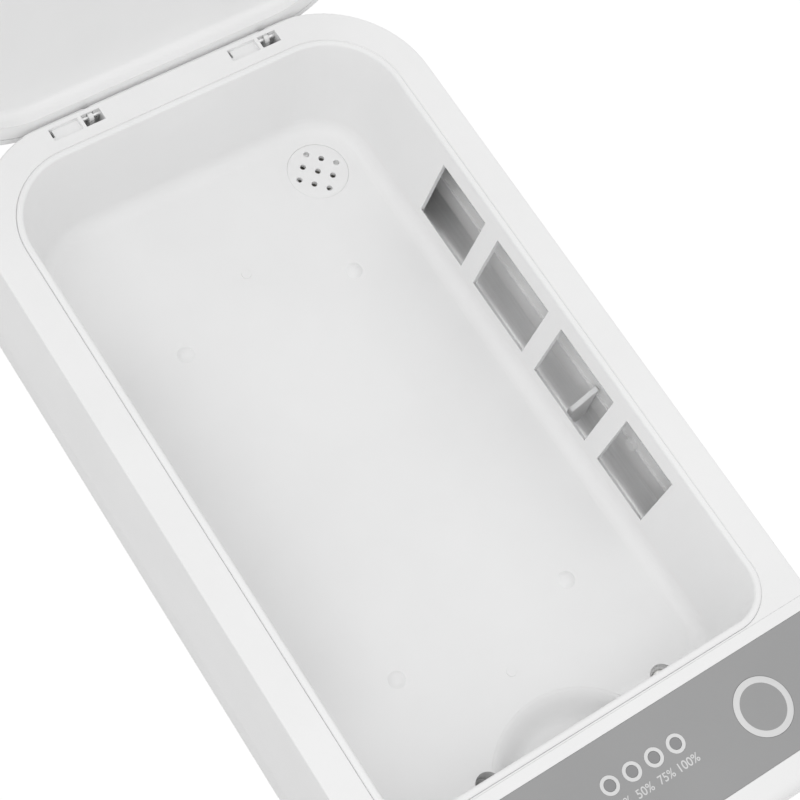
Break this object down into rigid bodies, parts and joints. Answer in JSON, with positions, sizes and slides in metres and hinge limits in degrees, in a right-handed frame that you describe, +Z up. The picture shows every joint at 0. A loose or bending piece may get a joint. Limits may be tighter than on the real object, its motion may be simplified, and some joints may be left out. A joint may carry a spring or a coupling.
{
  "type": "uv sanitizer box for phones",
  "caption": "White ultraviolet sanitizing box for a phone: deep tray with side lamp windows, aroma well, grey touch panel and a hollow hinged lid standing open",
  "frame": {"origin": "middle of the footprint, on the flat underside that the box stands on", "axes": "+X is the width (right), +Y is the length towards the hinge, +Z is up; rest pose has the lid open on its stop"},
  "size_m": [0.1164, 0.2602, 0.2188],
  "materials": {
    "white_shell": "satin moulded",
    "white_front": "satin moulded",
    "white_base": "fine matte",
    "white_tray": "satin moulded",
    "white_lid": "satin moulded",
    "white_liner": "satin moulded",
    "grey_panel": "printed satin sheet",
    "grey_key": "satin key top",
    "light_ring": "printed ring",
    "light_pipe": "frosted clear",
    "satin_reflector": "satin rolled sheet",
    "lamp_glass": "clear quartz",
    "lamp_cap": "soft silicone",
    "bay_plastic": "moulded",
    "saddle_plastic": "moulded translucent",
    "aroma_white": "satin moulded",
    "cup_plastic": "moulded",
    "felt": "pressed felt",
    "heater_sheet": "etched foil disc",
    "board_green": "solder mask",
    "black_part": "moulded epoxy",
    "copper_wound": "varnished wire",
    "can_aluminium": "sleeved can",
    "connector_ivory": "moulded nylon",
    "screw_steel": "zinc plated",
    "pin_steel": "ground",
    "inlet_steel": "nickel plated",
    "led_white": "phosphor resin",
    "ribbon_film": "polyester film",
    "magnet_nickel": "nickel plated",
    "pad_rubber": "soft clear bumper",
    "arm_plastic": "glass filled"
  },
  "bodies": {
    "base": {"base_cover": "white_base", "base_screws": "screw_steel", "housing": "white_shell", "front_cover": "white_front", "tray": "white_tray", "tray_screws": "screw_steel", "reflector_right": "satin_reflector", "reflector_left": "satin_reflector", "lamp_bay_right": "bay_plastic", "lamp_bay_left": "bay_plastic", "lamp_right": "lamp_glass", "lamp_left": "lamp_glass", "lamp_caps_right": "lamp_cap", "lamp_caps_left": "lamp_cap", "lamp_saddle_right": "saddle_plastic", "lamp_saddle_left": "saddle_plastic", "aroma_cup": "cup_plastic", "aroma_pad": "felt", "aroma_heater": "heater_sheet", "main_board": "board_green", "board_screws": "screw_steel", "inverter_transformer": "copper_wound", "capacitors": "can_aluminium", "board_chips": "black_part", "wire_connectors": "connector_ivory", "power_board": "board_green", "usb_socket": "inlet_steel", "control_board": "board_green", "control_board_screws": "screw_steel", "tact_switches": "black_part", "status_leds": "led_white", "light_pipes": "light_pipe", "led_rings": "light_ring", "panel_overlay": "grey_panel", "ribbon_cable": "ribbon_film", "lid_sensor": "black_part", "hinge_pins": "pin_steel", "hinge_bracket_left": "bay_plastic", "hinge_bracket_right": "bay_plastic"},
    "lid": {"lid_shell": "white_lid", "lid_liner": "white_liner", "lid_magnet": "magnet_nickel", "lid_pads": "pad_rubber", "hinge_arm_left": "arm_plastic", "hinge_arm_right": "arm_plastic"},
    "sterilize_button": {"sterilize_key": "grey_key"},
    "aroma_button": {"aroma_key": "grey_key"},
    "aroma_cover": {"aroma_cap": "aroma_white"}
  },
  "joints": [
    {"name": "lid_hinge", "type": "hinge", "parent": "base", "child": "lid", "pos_m": [0, 0.1061, 0.041], "axis": [1, 0, 0], "range_deg": [0, 102]},
    {"name": "sterilize_press", "type": "slide", "parent": "base", "child": "sterilize_button", "axis": [0, 0, -1], "range_m": [0, 0.0004], "stiffness_N_per_m": 250, "springref_m": -0.0006},
    {"name": "aroma_press", "type": "slide", "parent": "base", "child": "aroma_button", "axis": [0, 0, -1], "range_m": [0, 0.0004], "stiffness_N_per_m": 250, "springref_m": -0.0006},
    {"name": "aroma_lift", "type": "slide", "parent": "base", "child": "aroma_cover", "axis": [0, 0, 1], "range_m": [0, 0.04]}
  ]
}
